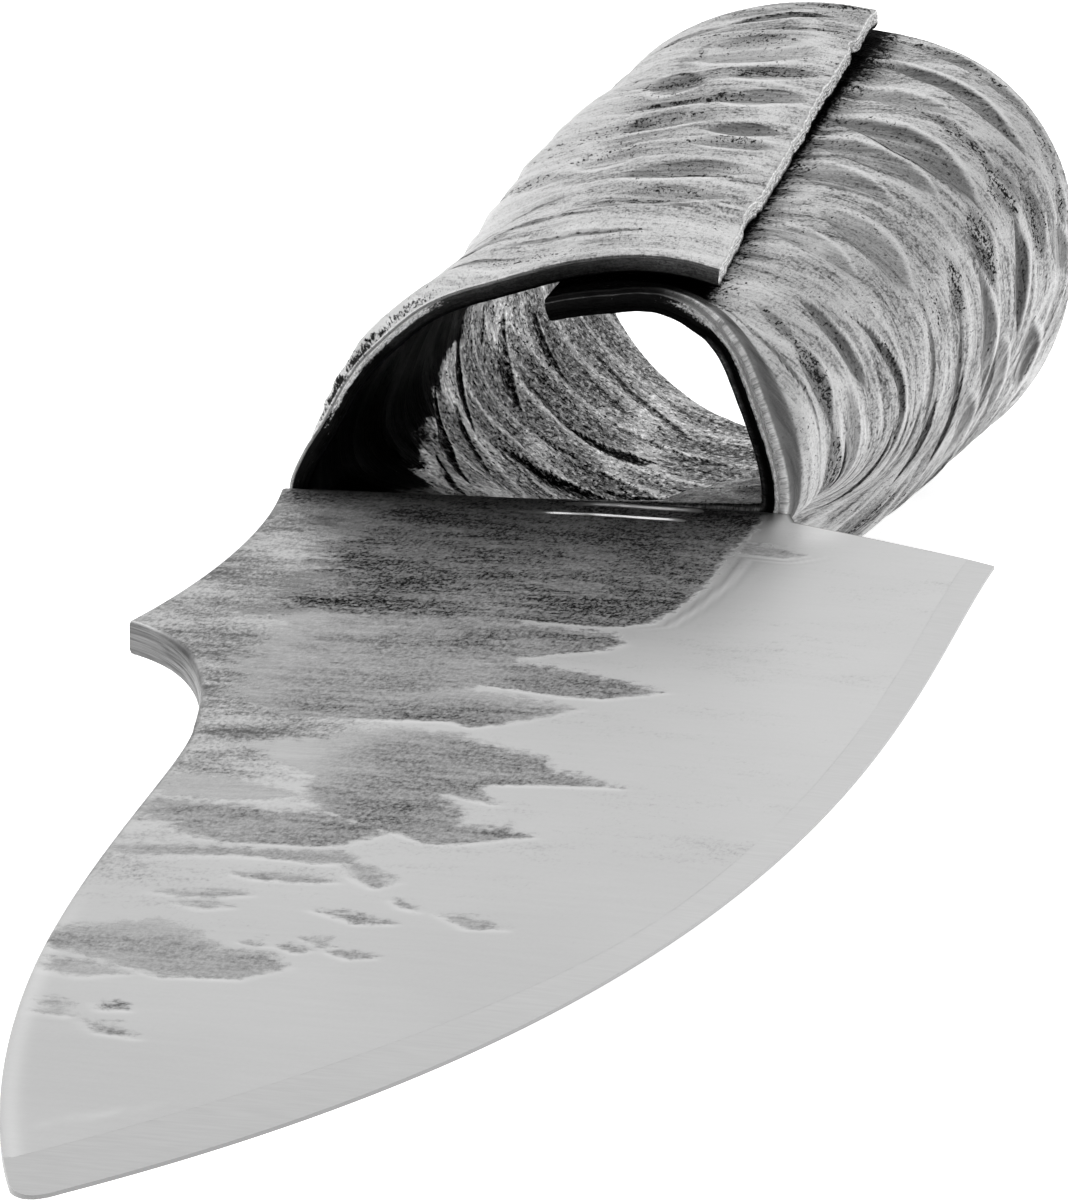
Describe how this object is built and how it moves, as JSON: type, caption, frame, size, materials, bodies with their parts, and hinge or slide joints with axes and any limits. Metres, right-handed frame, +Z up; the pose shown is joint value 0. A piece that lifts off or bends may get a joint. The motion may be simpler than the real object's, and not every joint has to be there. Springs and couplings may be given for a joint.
{
  "type": "slicing knife",
  "caption": "Forged slicing knife with a laminated blade, a stepped spine and a handle rolled from sheet into an open tapered tube.",
  "frame": {"origin": "under the middle of the bounding box, at the height of the lowest point of the handle", "axes": "+Y from the tip to the far end of the handle, +X from the spine to the cutting edge, +Z up out of the blade's face"},
  "size_m": [0.052, 0.2778, 0.035],
  "materials": {
    "core_steel": "satin ground",
    "cladding_iron": "satin ground towards the edge, dark forge scale at the neck and spine",
    "handle_iron": "hammered, with dark scale in the hollows"
  },
  "bodies": {
    "root": {"blade_core": "core_steel", "face_cladding": "cladding_iron", "back_cladding": "cladding_iron", "rolled_handle": "handle_iron"}
  },
  "joints": []
}
